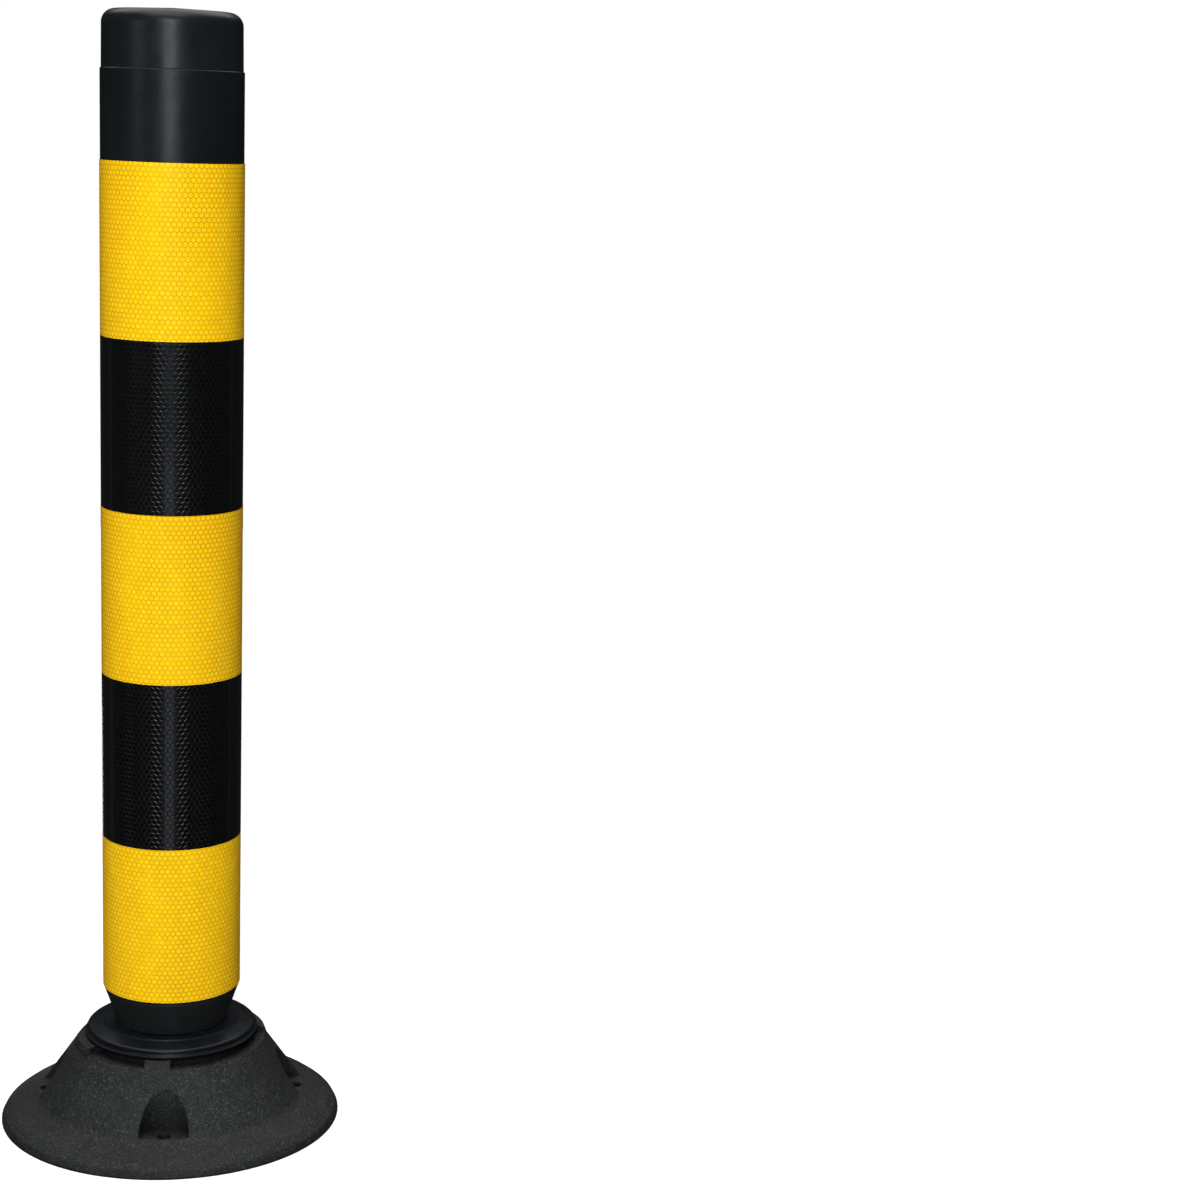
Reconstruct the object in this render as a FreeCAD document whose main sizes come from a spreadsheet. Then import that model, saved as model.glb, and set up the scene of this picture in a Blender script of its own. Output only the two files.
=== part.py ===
import FreeCAD, Part
import os
import math
import Sketcher

# Self-righting delineator post.  Millimetres, +Z up, origin on the ground at
# the centre of the round base.  The post tips over the edge of its foot and is
# pulled upright again by steel wires and a compression spring inside the tube.

doc = FreeCAD.newDocument("delineator_post")
V = FreeCAD.Vector

# ----------------------------------------------------------------- dimensions
sheet = doc.addObject("Spreadsheet::Sheet", "Spec")
DIMS = [
    # rubber base
    ("base_rad", 100.0), ("rim_flat", 1.2), ("rim_rad2", 98.4), ("rim_high", 4.4),
    ("skirt_rad", 94.0), ("skirt_high", 7.6), ("root_rad", 79.0), ("root_high", 14.4),
    ("crown_rad", 54.2), ("crown_high", 49.8), ("crown_lip", 52.4), ("base_high", 52.0),
    ("seat_rad", 44.0), ("blend_root", 8.0), ("blend_crown", 2.0),
    ("hollow_rad", 89.0), ("hollow_step", 75.5), ("hollow_stepz", 6.8),
    ("hollow_top", 56.0), ("hollow_topz", 33.5), ("roof_high", 41.5),
    ("bolt_ring", 74.0), ("bolt_rad", 4.0), ("niche_rad", 14.0), ("niche_ring", 76.0),
    ("niche_floor", 15.0), ("boss_rad", 18.5), ("niche_round", 0.8),
    ("notch_in", 46.6), ("notch_out", 60.0), ("notch_floor", 48.0), ("rib_wide", 15.0),
    ("ledge_rad", 56.9), ("ledge_low", 47.0), ("ledge_edge", 50.6), ("ledge_top", 51.4),
    ("ledge_turn", 29.0),
    # socket ring
    ("land_high", 60.0), ("land_in", 31.9), ("land_out", 39.3),
    ("shoulder_rad", 48.7), ("shoulder_high", 57.4), ("lip_rad", 50.9), ("lip_high", 53.9),
    ("ring_seat", 52.05), ("spigot_rad", 43.8), ("spigot_low", 41.5), ("spider_seat", 50.0),
    ("spider_bore", 36.3),
    # hub spider
    ("hub_rad", 10.5), ("hub_high", 59.4), ("hub_low", 45.0), ("hub_bore", 6.2),
    ("collar_rad", 13.6), ("collar_high", 54.6), ("arm_wide", 8.0), ("arm_high", 57.0),
    ("arm_reach", 31.7), ("block_wide", 10.5), ("block_reach", 17.2), ("block_high", 58.7),
    ("lug_wide", 9.5), ("lug_start", 26.2), ("lug_high", 59.5), ("spider_rim", 36.2),
    ("spider_rim_in", 28.5), ("spider_rim_high", 49.95),
    # clamp plate and its screws
    ("plate_rad", 50.0), ("plate_bore", 20.0), ("plate_thick", 3.4), ("screw_ring", 40.2),
    ("screw_rad", 2.5), ("screw_head", 4.4), ("screw_headz", 3.0), ("screw_tip", 50.5),
    # wire anchor
    ("washer_rad", 12.0), ("washer_bore", 6.4), ("washer_thick", 1.6),
    ("anchor_rad", 10.5), ("anchor_thick", 6.0), ("wire_rad", 0.6), ("hub_spread", 4.4),
    ("crimp_rad", 1.9), ("crimp_long", 6.0), ("mouth_high", 56.2),
    # pivot of the tipping post
    ("tip_edge", 34.2), ("tip_high", 61.0), ("span_long", 47.4), ("span_spread", 2.8),
    # foot
    ("foot_low", 60.3), ("foot_rad", 32.6), ("foot_top", 39.4), ("tube_low", 82.0),
    ("plug_rad", 36.45), ("plug_top", 112.0), ("foot_hollow", 15.5), ("foot_floor", 65.5),
    ("eyelet_seat", 11.4), ("eyelet_bore", 8.6), ("recess_in", 15.0), ("recess_out", 28.6),
    ("recess_deep", 9.0), ("foot_rib", 4.4),
    ("pin_rad", 2.0), ("pin_high", 97.0), ("pin_in", 27.0),
    # tube
    ("tube_rad", 40.0), ("tube_bore", 36.5), ("tube_top", 616.5),
    # reflective film
    ("film_rad", 40.4), ("film_low", 83.0), ("band_one", 175.8), ("band_two", 273.4),
    ("band_three", 371.0), ("band_four", 468.6), ("band_five", 566.2),
    ("lap_rad", 40.52), ("lap_high", 358.0),
    # cap
    ("cap_rad", 39.3), ("cap_round", 7.6), ("cap_edge", 648.2), ("cap_top", 650.0),
    ("cap_plug", 36.4), ("cap_plug_low", 590.0), ("cap_wall", 3.0),
    # spring pack
    ("seat_plate", 35.6), ("seat_thick", 4.0), ("seat_bore", 19.0),
    ("guide_rad", 18.8), ("guide_bore", 17.2), ("guide_flange", 22.0), ("guide_top", 226.0),
    ("spring_low", 117.5), ("spring_high", 296.0), ("spring_rad", 23.4), ("spring_wire", 2.4),
    ("spring_turns", 13.0), ("pull_rad", 33.5), ("pull_thick", 6.0), ("pull_nose", 16.4),
    ("pull_nose_long", 12.0), ("pull_spread", 8.0), ("upper_low", 112.6), ("upper_spread", 2.8),
    ("clip_rad", 2.5), ("clip_long", 9.0),
]
row = 0
VAL = {}
for alias, value in DIMS:
    row += 1
    sheet.set("A%d" % row, alias)
    sheet.set("B%d" % row, "%g" % value)
    sheet.setAlias("B%d" % row, alias)
    VAL[alias] = value
doc.recompute()


class Q:
    """A size that carries its number and the sheet expression it comes from."""

    def __init__(self, val, ex):
        self.val = float(val)
        self.ex = ex

    @staticmethod
    def of(x):
        return x if isinstance(x, Q) else Q(x, "%.6g" % x)

    def __add__(self, o):
        o = Q.of(o)
        return Q(self.val + o.val, "(%s + %s)" % (self.ex, o.ex))

    def __radd__(self, o):
        return Q.of(o) + self

    def __sub__(self, o):
        o = Q.of(o)
        return Q(self.val - o.val, "(%s - %s)" % (self.ex, o.ex))

    def __rsub__(self, o):
        return Q.of(o) - self

    def __mul__(self, o):
        o = Q.of(o)
        return Q(self.val * o.val, "(%s * %s)" % (self.ex, o.ex))

    def __rmul__(self, o):
        return Q.of(o) * self

    def __truediv__(self, o):
        o = Q.of(o)
        return Q(self.val / o.val, "(%s / %s)" % (self.ex, o.ex))

    def __neg__(self):
        return Q(-self.val, "(0 - %s)" % self.ex)


def d(alias):
    return Q(VAL[alias], "Spec." + alias)


FINAL = []


def finish(obj, label):
    obj.Label = label
    FINAL.append((label, obj))
    return obj


# -------------------------------------------------------- PartDesign helpers
def origin_plane(body, role):
    for f in body.Origin.OriginFeatures:
        if f.Role == role:
            return f
    raise RuntimeError("no plane " + role)


def new_sketch(body, name, plane, lift=None):
    sk = body.newObject("Sketcher::SketchObject", name)
    sk.AttachmentSupport = [(origin_plane(body, plane), "")]
    sk.MapMode = "FlatFace"
    if lift is not None:
        lift = Q.of(lift)
        sk.AttachmentOffset = FreeCAD.Placement(V(0, 0, lift.val), FreeCAD.Rotation())
        sk.setExpression("AttachmentOffset.Base.z", lift.ex)
    return sk


def bind_point(sk, geo, pos, x, y):
    for coord, kind, axis in ((x, "DistanceX", -2), (y, "DistanceY", -1)):
        coord = Q.of(coord)
        if abs(coord.val) < 1e-9:
            sk.addConstraint(Sketcher.Constraint("PointOnObject", geo, pos, axis))
        else:
            n = sk.addConstraint(Sketcher.Constraint(kind, -1, 1, geo, pos, coord.val))
            if "Spec." in coord.ex:
                sk.setExpression("Constraints[%d]" % n, coord.ex)


def polygon(sk, pts):
    pts = [(Q.of(a), Q.of(b)) for a, b in pts]
    n = len(pts)
    first = sk.GeometryCount
    for i in range(n):
        a, b = pts[i], pts[(i + 1) % n]
        sk.addGeometry(Part.LineSegment(V(a[0].val, a[1].val, 0), V(b[0].val, b[1].val, 0)), False)
    for i in range(n):
        sk.addConstraint(Sketcher.Constraint("Coincident", first + i, 2, first + (i + 1) % n, 1))
    for i in range(n):
        bind_point(sk, first + i, 1, pts[i][0], pts[i][1])


def circle(sk, x, y, r):
    x, y, r = Q.of(x), Q.of(y), Q.of(r)
    g = sk.addGeometry(Part.Circle(V(x.val, y.val, 0), V(0, 0, 1), r.val), False)
    if abs(x.val) < 1e-9 and abs(y.val) < 1e-9:
        sk.addConstraint(Sketcher.Constraint("Coincident", g, 3, -1, 1))
    else:
        bind_point(sk, g, 3, x, y)
    n = sk.addConstraint(Sketcher.Constraint("Radius", g, r.val))
    sk.setExpression("Constraints[%d]" % n, r.ex)


def ring_edges(shape, spots, tol=0.06):
    """names of full circular edges about Z at the given (radius, height)"""
    out = []
    for i, e in enumerate(shape.Edges):
        c = e.Curve
        if not isinstance(c, Part.Circle):
            continue
        if abs(c.Center.x) > 1e-4 or abs(c.Center.y) > 1e-4 or abs(abs(c.Axis.z) - 1) > 1e-6:
            continue
        for r, z in spots:
            if abs(c.Radius - Q.of(r).val) < tol and abs(c.Center.z - Q.of(z).val) < tol:
                out.append("Edge%d" % (i + 1))
    return out


def revolved(name, pts):
    body = doc.addObject("PartDesign::Body", name)
    sk = new_sketch(body, name + "_profile", "XZ_Plane")
    polygon(sk, pts)
    rev = body.newObject("PartDesign::Revolution", name + "_turn")
    rev.Profile = sk
    rev.ReferenceAxis = (sk, ["V_Axis"])
    rev.Angle = 360.0
    body.Tip = rev
    doc.recompute()
    return body, rev


def rounded(body, feature, name, spots, radius):
    edges = ring_edges(feature.Shape, spots)
    if len(edges) < len(spots):
        raise RuntimeError("%s: %d edges for %d spots" % (name, len(edges), len(spots)))
    fil = body.newObject("PartDesign::Fillet", name)
    fil.Base = (feature, edges)
    radius = Q.of(radius)
    fil.Radius = radius.val
    if "Spec." in radius.ex:
        fil.setExpression("Radius", radius.ex)
    body.Tip = fil
    doc.recompute()
    return fil


def pocket(body, sk, name, length=None, up=False, through=False):
    before = body.Shape.Volume
    pk = body.newObject("PartDesign::Pocket", name)
    pk.Profile = sk
    if through:
        pk.Type = 1
    else:
        length = Q.of(length)
        pk.Length = length.val
        pk.setExpression("Length", length.ex)
    # a pocket on an upward-facing sketch cuts downward unless it is reversed
    pk.Reversed = bool(up)
    body.Tip = pk
    doc.recompute()
    if body.Shape.Volume > before - 1e-3:
        raise RuntimeError(name + " cut nothing")
    return pk


def polar(body, feats, name, count):
    pat = body.newObject("PartDesign::PolarPattern", name)
    pat.Originals = feats
    z_axis = origin_plane(body, "Z_Axis")
    pat.Axis = (z_axis, [""])
    pat.Angle = 360.0
    pat.Occurrences = count
    body.Tip = pat
    doc.recompute()
    return pat


# ---------------------------------------------------------- Part helpers
def place(obj, x=0, y=0, z=0, turn=None):
    x, y, z = Q.of(x), Q.of(y), Q.of(z)
    rot = FreeCAD.Rotation(V(0, 0, 1), turn) if turn is not None else FreeCAD.Rotation()
    obj.Placement = FreeCAD.Placement(V(x.val, y.val, z.val), rot)
    for axis, q in (("x", x), ("y", y), ("z", z)):
        if "Spec." in q.ex:
            obj.setExpression("Placement.Base." + axis, q.ex)


def setq(obj, prop, q):
    q = Q.of(q)
    setattr(obj, prop, q.val)
    if "Spec." in q.ex:
        obj.setExpression(prop, q.ex)


def cyl(name, r, low, high, x=0, y=0):
    o = doc.addObject("Part::Cylinder", name)
    setq(o, "Radius", r)
    setq(o, "Height", Q.of(high) - Q.of(low))
    place(o, x, y, low)
    return o


def cone(name, r1, r2, low, high, x=0, y=0):
    o = doc.addObject("Part::Cone", name)
    setq(o, "Radius1", r1)
    setq(o, "Radius2", r2)
    setq(o, "Height", Q.of(high) - Q.of(low))
    place(o, x, y, low)
    return o


def bar(name, start, reach, wide, low, high, angle):
    """box along a radius, from start to reach, turned to angle about Z"""
    start, reach, wide = Q.of(start), Q.of(reach), Q.of(wide)
    o = doc.addObject("Part::Box", name)
    setq(o, "Length", reach - start)
    setq(o, "Width", wide)
    setq(o, "Height", Q.of(high) - Q.of(low))
    a = math.radians(angle)
    ca, sa = math.cos(a), math.sin(a)
    x = start * ca + wide * (sa / 2.0)
    y = start * sa - wide * (ca / 2.0)
    place(o, x, y, low, angle)
    return o


def fuse(name, objs):
    o = doc.addObject("Part::MultiFuse", name)
    o.Shapes = objs
    o.Refine = True
    return o


def cut(name, a, b):
    o = doc.addObject("Part::Cut", name)
    o.Base = a
    o.Tool = b
    o.Refine = True
    return o


def at(r, angle):
    a = math.radians(angle)
    return r * math.cos(a), r * math.sin(a)


# ================================================================ base shell
outer_body, outer_turn = revolved("base_outer", [
    (0, 0), (d("base_rad"), 0), (d("base_rad"), d("rim_flat")),
    (d("rim_rad2"), d("rim_high")), (d("skirt_rad"), d("skirt_high")),
    (d("root_rad"), d("root_high")), (d("crown_rad"), d("crown_high")),
    (d("crown_lip"), d("base_high")), (0, d("base_high"))])
f1 = rounded(outer_body, outer_turn, "base_root_blend", [(d("root_rad"), d("root_high"))], d("blend_root"))
f2 = rounded(outer_body, f1, "base_rim_blend",
             [(d("rim_rad2"), d("rim_high")), (d("skirt_rad"), d("skirt_high"))], 3.0)
f3 = rounded(outer_body, f2, "base_crown_blend",
             [(d("crown_rad"), d("crown_high")), (d("crown_lip"), d("base_high"))], 1.6)

# hollow underside, and the seat bore in the crown
hollow_body, hollow_turn = revolved("base_hollow", [
    (0, -1), (d("hollow_rad") + 1.5, -1), (d("hollow_rad"), 1.5),
    (d("hollow_step"), d("hollow_stepz")),
    (d("hollow_top"), d("hollow_topz")), (d("hollow_top") - 5, d("roof_high")),
    (d("seat_rad"), d("roof_high")), (d("seat_rad"), d("base_high") + 1),
    (0, d("base_high") + 1)])

# solid bosses that carry the anchor bolts inside the hollow
bosses = []
for k, ang in enumerate((0, 90, 180, 270)):
    bx, by = at(d("niche_ring"), ang)
    bosses.append(cyl("boss%d" % k, d("boss_rad"), 0, 44, bx, by))
boss_set = fuse("boss_set", bosses)
boss_keep = doc.addObject("Part::Common", "boss_keep")
boss_keep.Base = boss_set
boss_keep.Tool = outer_body
shell_raw = cut("shell_raw", outer_body, hollow_body)
shell_boss = fuse("shell_boss", [shell_raw, boss_keep])

# arched niches over the bolts: a vertical round-backed cut, open outwards
tools = []
for k, ang in enumerate((0, 90, 180, 270)):
    nx, ny = at(d("niche_ring"), ang)
    tools.append(cyl("niche_back%d" % k, d("niche_rad"), d("niche_floor"), 60, nx, ny))
    tools.append(bar("niche_mouth%d" % k, d("niche_ring"), d("base_rad"), d("niche_rad") * 2,
                     d("niche_floor"), 60, ang))
niche_set = fuse("niche_set", tools)
shell_niche = cut("shell_niche", shell_boss, niche_set)

# soft edge around each niche's arch
doc.recompute()
arch = []
for i, e in enumerate(shell_niche.Shape.Edges):
    if isinstance(e.Curve, (Part.Line, Part.Circle)) or e.BoundBox.ZMin < 14.8 or e.BoundBox.ZMax > 45:
        continue
    if e.Length < 20:
        continue
    for ang in (0, 90, 180, 270):
        nx, ny = at(VAL["niche_ring"], ang)
        ux, uy = at(1.0, ang)
        near = True
        for p in e.discretize(7):
            along = (p.x - nx) * ux + (p.y - ny) * uy
            across = (p.y - ny) * ux - (p.x - nx) * uy
            reach = abs(across) if along > 0 else math.hypot(along, across)
            near = near and abs(reach - VAL["niche_rad"]) < 0.05
        if near:
            arch.append((i + 1, VAL["niche_round"], VAL["niche_round"]))
if len(arch) < 4:
    raise RuntimeError("niche arches not found: %d" % len(arch))
shell_soft = doc.addObject("Part::Fillet", "shell_soft")
shell_soft.Base = shell_niche
shell_soft.Edges = arch
doc.recompute()
if not shell_soft.Shape.isValid() or len(shell_soft.Shape.Solids) != 1:
    raise RuntimeError("niche fillet failed")

# bayonet clearance under the ring's flange: an arc cut, left standing at the
# front and rear ribs and at the two stop ledges
notch_ring = cut("notch_ring",
                 cyl("notch_outer", d("notch_out"), d("notch_floor"), d("base_high") + 1),
                 cyl("notch_inner", d("notch_in"), d("notch_floor") - 1, d("base_high") + 2))
keep = [bar("rib_front", 40, 62, d("rib_wide"), 40, 56, 264.5), bar("rib_rear", 40, 62, d("rib_wide"), 40, 56, 84.5)]
for name, ang in (("ledge_zone_left", 184), ("ledge_zone_right", 4)):
    zone = cyl(name, 62, 40, 56)
    setq(zone, "Angle", d("ledge_turn"))
    place(zone, 0, 0, 40, ang)
    keep.append(zone)
notch_keep = fuse("notch_keep", keep)
notch_cut = cut("notch_cut", notch_ring, notch_keep)
shell_notch = cut("shell_notch", shell_soft, notch_cut)
ledge_body, _ = revolved("ledge_round", [
    (d("notch_in"), d("ledge_low")), (d("ledge_rad"), d("ledge_low")),
    (d("ledge_rad") - 1.3, d("ledge_edge")), (d("ledge_rad") - 2.3, d("ledge_top")),
    (d("notch_in"), d("ledge_top"))])
ledges = []
for name, ang in (("ledge_left", 184), ("ledge_right", 4)):
    wedge = cyl(name + "_span", 62, 40, 56)
    setq(wedge, "Angle", d("ledge_turn"))
    place(wedge, 0, 0, 40, ang)
    piece = doc.addObject("Part::Common", name)
    piece.Base = ledge_body
    piece.Tool = wedge
    ledges.append(piece)
shell_tabs = fuse("shell_tabs", [shell_notch] + ledges)

holes = []
for k, ang in enumerate((0, 90, 180, 270)):
    hx, hy = at(d("bolt_ring"), ang)
    holes.append(cyl("bolt_hole%d" % k, d("bolt_rad"), -1, 20, hx, hy))
hole_set = fuse("hole_set", holes)
base_shell = finish(cut("base_shell_cut", shell_tabs, hole_set), "base_shell")

# =============================================================== socket ring
ring_body, ring_turn = revolved("socket_ring_body", [
    (d("land_in"), d("spider_seat")), (d("land_in"), d("land_high") - 0.5),
    (d("land_in") + 0.5, d("land_high")), (d("land_out"), d("land_high")),
    (d("land_out") + 0.5, d("land_high") - 0.75), (d("land_out") + 1.3, d("land_high") - 0.75),
    (d("shoulder_rad"), d("shoulder_high")), (d("shoulder_rad") + 0.9, d("shoulder_high") - 0.9),
    (d("shoulder_rad") + 0.9, d("shoulder_high") - 1.5), (d("shoulder_rad") + 0.2, d("shoulder_high") - 1.9),
    (d("shoulder_rad") + 0.2, d("shoulder_high") - 2.3), (d("shoulder_rad") + 1.2, d("shoulder_high") - 2.7),
    (d("shoulder_rad") + 1.2, d("lip_high") + 0.2), (d("lip_rad"), d("lip_high")),
    (d("lip_rad") + 0.1, d("lip_high") - 0.5), (d("lip_rad") - 0.2, d("lip_high") - 1.0),
    (d("lip_rad") - 0.9, d("ring_seat")),
    (d("spigot_rad"), d("ring_seat")), (d("spigot_rad"), d("spigot_low")),
    (d("spider_bore"), d("spigot_low")), (d("spider_bore"), d("spider_seat"))])
rr = rounded(ring_body, ring_turn, "socket_ring_edge",
             [(d("shoulder_rad"), d("shoulder_high"))], 1.2)
# blind holes for the clamp screws, from below
sk = new_sketch(ring_body, "screw_hole_sketch", "XY_Plane", d("spigot_low"))
sx, sy = at(d("screw_ring"), 344)
circle(sk, sx, sy, d("screw_rad"))
hp = pocket(ring_body, sk, "screw_hole", d("screw_tip") - d("spigot_low") + 0.3, up=True)
polar(ring_body, [hp], "screw_holes", 4)
finish(ring_body, "socket_ring")

# ================================================================ hub spider
sp = [cyl("hub_post", d("hub_rad"), d("hub_low"), d("hub_high") - 0.8),
      cone("hub_nose", d("hub_rad"), d("hub_rad") - 0.8, d("hub_high") - 0.8, d("hub_high")),
      cyl("hub_collar", d("collar_rad"), d("hub_low"), d("collar_high"))]
for k, ang in enumerate((29, 119, 209, 299)):
    sp.append(bar("arm%d" % k, 8, d("arm_reach"), d("arm_wide"), d("hub_low"), d("arm_high"), ang))
    sp.append(bar("block%d" % k, 9, d("block_reach"), d("block_wide"), d("hub_low"), d("block_high"), ang))
    sp.append(bar("lug%d" % k, d("lug_start"), d("arm_reach"), d("lug_wide"), d("hub_low"), d("lug_high"), ang))
rim_ring = cut("spider_rim_ring", cyl("spider_rim_out", d("spider_rim"), d("hub_low"), d("spider_rim_high")),
               cyl("spider_rim_hole", d("spider_rim_in"), d("hub_low") - 1, d("spider_rim_high") + 1))
sp.append(rim_ring)
spider_solid = fuse("spider_solid", sp)
finish(cut("spider_cut", spider_solid, cyl("hub_hole", d("hub_bore"), d("hub_low") - 1, d("hub_high") + 1)),
       "hub_spider")

# ============================================== clamp plate below the crown
plate_top = d("spigot_low")
plate_low = plate_top - d("plate_thick")
plate_body, plate_turn = revolved("clamp_plate_body", [
    (d("plate_bore"), plate_low), (d("plate_rad"), plate_low), (d("plate_rad"), plate_top),
    (d("plate_bore"), plate_top)])
sk = new_sketch(plate_body, "plate_hole_sketch", "XY_Plane", plate_top)
sx, sy = at(d("screw_ring"), 344)
circle(sk, sx, sy, d("screw_rad") + 0.3)
ph = pocket(plate_body, sk, "plate_hole", d("plate_thick") + 1)
polar(plate_body, [ph], "plate_holes", 4)
finish(plate_body, "clamp_plate")

screws = []
for k in range(4):
    sx, sy = at(d("screw_ring"), 344 + 90 * k)
    shank = cyl("screw_shank%d" % k, d("screw_rad") - 0.02, plate_low, d("screw_tip"), sx, sy)
    head = cyl("screw_headc%d" % k, d("screw_head"), plate_low - d("screw_headz"), plate_low, sx, sy)
    one = fuse("screw_body%d" % k, [shank, head])
    sock = doc.addObject("Part::Prism", "screw_socket%d" % k)
    sock.Polygon = 6
    sock.Circumradius = 2.3
    setq(sock, "Height", d("screw_headz") - 1.2)
    place(sock, sx, sy, plate_low - d("screw_headz"))
    screws.append(cut("screw%d" % k, one, sock))
screw_group = doc.addObject("Part::Compound", "ring_screw_group")
screw_group.Links = screws
finish(screw_group, "ring_screws")

# spider bears up on the ring's step; a spacer sleeve fills down to the plate
spacer_body, _ = revolved("spacer_body", [
    (d("spider_rim_in") + 1, plate_top + 0.05), (d("spider_bore") - 0.2, plate_top + 0.05),
    (d("spider_bore") - 0.2, d("hub_low") - 0.05), (d("spider_rim_in") + 1, d("hub_low") - 0.05)])
finish(spacer_body, "spider_spacer")

# ============================================= wire anchor, turning in the hub
wash_top = d("hub_low") - 0.3
wash_low = wash_top - d("washer_thick")
washer_body, _ = revolved("washer_body", [
    (d("washer_bore"), wash_low), (d("washer_rad"), wash_low),
    (d("washer_rad"), wash_top), (d("washer_bore"), wash_top)])
finish(washer_body, "thrust_washer")

anc_top = wash_low
anc_low = anc_top - d("anchor_thick")
anchor_body, anchor_turn = revolved("anchor_body", [
    (0, anc_low), (d("anchor_rad") - 1.2, anc_low), (d("anchor_rad"), anc_low + 1.2),
    (d("anchor_rad"), anc_top), (d("hub_bore") - 0.06, anc_top), (d("hub_bore") - 0.06, d("hub_low") + 4),
    (0, d("hub_low") + 4)])
sk = new_sketch(anchor_body, "anchor_wire_sketch", "XY_Plane", d("hub_low") + 5)
circle(sk, d("hub_spread"), 0, d("wire_rad") + 0.03)
aw = pocket(anchor_body, sk, "anchor_wire_hole", d("anchor_thick") + d("washer_thick") + 12)
polar(anchor_body, [aw], "anchor_wire_holes", 6)
finish(anchor_body, "wire_anchor")


def rod(r, p, q):
    ax = q.sub(p)
    return Part.makeCylinder(r, ax.Length, p, ax)


def feature(label, shape):
    o = doc.addObject("Part::Feature", label)
    o.Shape = shape
    o.Placement = FreeCAD.Placement()
    return finish(o, label)


doc.recompute()
WR = sheet.get("wire_rad")
rings = [math.radians(60 * k) for k in range(6)]


def ringpt(rad, ang, z):
    return V(rad * math.cos(ang), rad * math.sin(ang), z)


anc_low_v = anc_low.val
lower = [rod(WR, ringpt(sheet.get("hub_spread"), a, anc_low_v - sheet.get("crimp_long") + 0.5),
             ringpt(sheet.get("hub_spread"), a, sheet.get("mouth_high"))) for a in rings]
feature("lower_wires", Part.makeCompound(lower))

crimps = []
for a in rings:
    c = ringpt(sheet.get("hub_spread"), a, anc_low_v - sheet.get("crimp_long"))
    body_c = Part.makeCylinder(sheet.get("crimp_rad"), sheet.get("crimp_long"), c, V(0, 0, 1))
    hole_c = Part.makeCylinder(WR + 0.01, sheet.get("crimp_long"), c.add(V(0, 0, 0.5)), V(0, 0, 1))
    crimps.append(body_c.cut(hole_c))
feature("lower_crimps", Part.makeCompound(crimps))

# ======================================================== leaning wire span
zt = sheet.get("tip_high")
span = [rod(WR, ringpt(sheet.get("hub_spread"), a, zt),
            ringpt(sheet.get("span_spread"), a, zt + sheet.get("span_long"))) for a in rings]
feature("wire_span", Part.makeCompound(span))

# ====================================================================== foot
foot_body, foot_turn = revolved("foot_body", [
    (d("eyelet_seat"), d("foot_low")), (d("foot_rad") - 0.4, d("foot_low")),
    (d("foot_rad"), d("foot_low") + 0.4),
    (d("foot_top"), d("tube_low") - 1.6), (d("foot_top"), d("tube_low")),
    (d("plug_rad"), d("tube_low")), (d("plug_rad"), d("plug_top") - 1.5),
    (d("plug_rad") - 1.5, d("plug_top")), (d("foot_hollow"), d("plug_top")),
    (d("foot_hollow"), d("foot_floor")), (d("eyelet_seat"), d("foot_floor"))])
sk = new_sketch(foot_body, "foot_recess_sketch", "XY_Plane", d("foot_low"))
h = math.pi / 8
ri, ro, rb = d("recess_in"), d("recess_out"), d("foot_rib")
# one sector-shaped recess between two radial ribs
pts = []
half_in = math.asin(rb.val / 2 / ri.val)
half_out = math.asin(rb.val / 2 / ro.val)
for rad, a in ((ri + 2.2, -h + half_in + 0.05), (ri, -0.0001), (ri + 2.2, h - half_in - 0.05),
               (ro, h - half_out - 0.04), (ro, h / 3), (ro, -h / 3), (ro, -h + half_out + 0.04)):
    if abs(a) < 0.001:
        pts.append((rad, 0))
    else:
        pts.append((rad * math.cos(a), rad * math.sin(a)))
polygon(sk, pts)
fr = pocket(foot_body, sk, "foot_recess", d("recess_deep"), up=True)
polar(foot_body, [fr], "foot_recesses", 8)
foot_raw = foot_body
pins_tool = []
for k, ang in enumerate((45, 165, 285)):
    t = doc.addObject("Part::Cylinder", "pin_tool%d" % k)
    setq(t, "Radius", d("pin_rad"))
    setq(t, "Height", d("tube_rad") - d("pin_in") + 2)
    a = math.radians(ang)
    t.Placement = FreeCAD.Placement(V(d("pin_in").val * math.cos(a), d("pin_in").val * math.sin(a), d("pin_high").val),
                                    FreeCAD.Rotation(V(0, 0, 1), V(math.cos(a), math.sin(a), 0)))
    t.setExpression("Placement.Base.z", d("pin_high").ex)
    pins_tool.append(t)
pin_tools = doc.addObject("Part::Compound", "pin_tools")
pin_tools.Links = pins_tool
finish(cut("foot_cut", foot_raw, pin_tools), "foot_cone")

rivets = []
for k, ang in enumerate((45, 165, 285)):
    t = doc.addObject("Part::Cylinder", "rivet%d" % k)
    setq(t, "Radius", d("pin_rad") - 0.02)
    setq(t, "Height", d("tube_rad") - 0.15 - d("pin_in"))
    a = math.radians(ang)
    t.Placement = FreeCAD.Placement(V(d("pin_in").val * math.cos(a), d("pin_in").val * math.sin(a), d("pin_high").val),
                                    FreeCAD.Rotation(V(0, 0, 1), V(math.cos(a), math.sin(a), 0)))
    t.setExpression("Placement.Base.z", d("pin_high").ex)
    rivets.append(t)
rivet_group = doc.addObject("Part::Compound", "rivet_group")
rivet_group.Links = rivets
finish(rivet_group, "foot_rivets")

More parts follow.
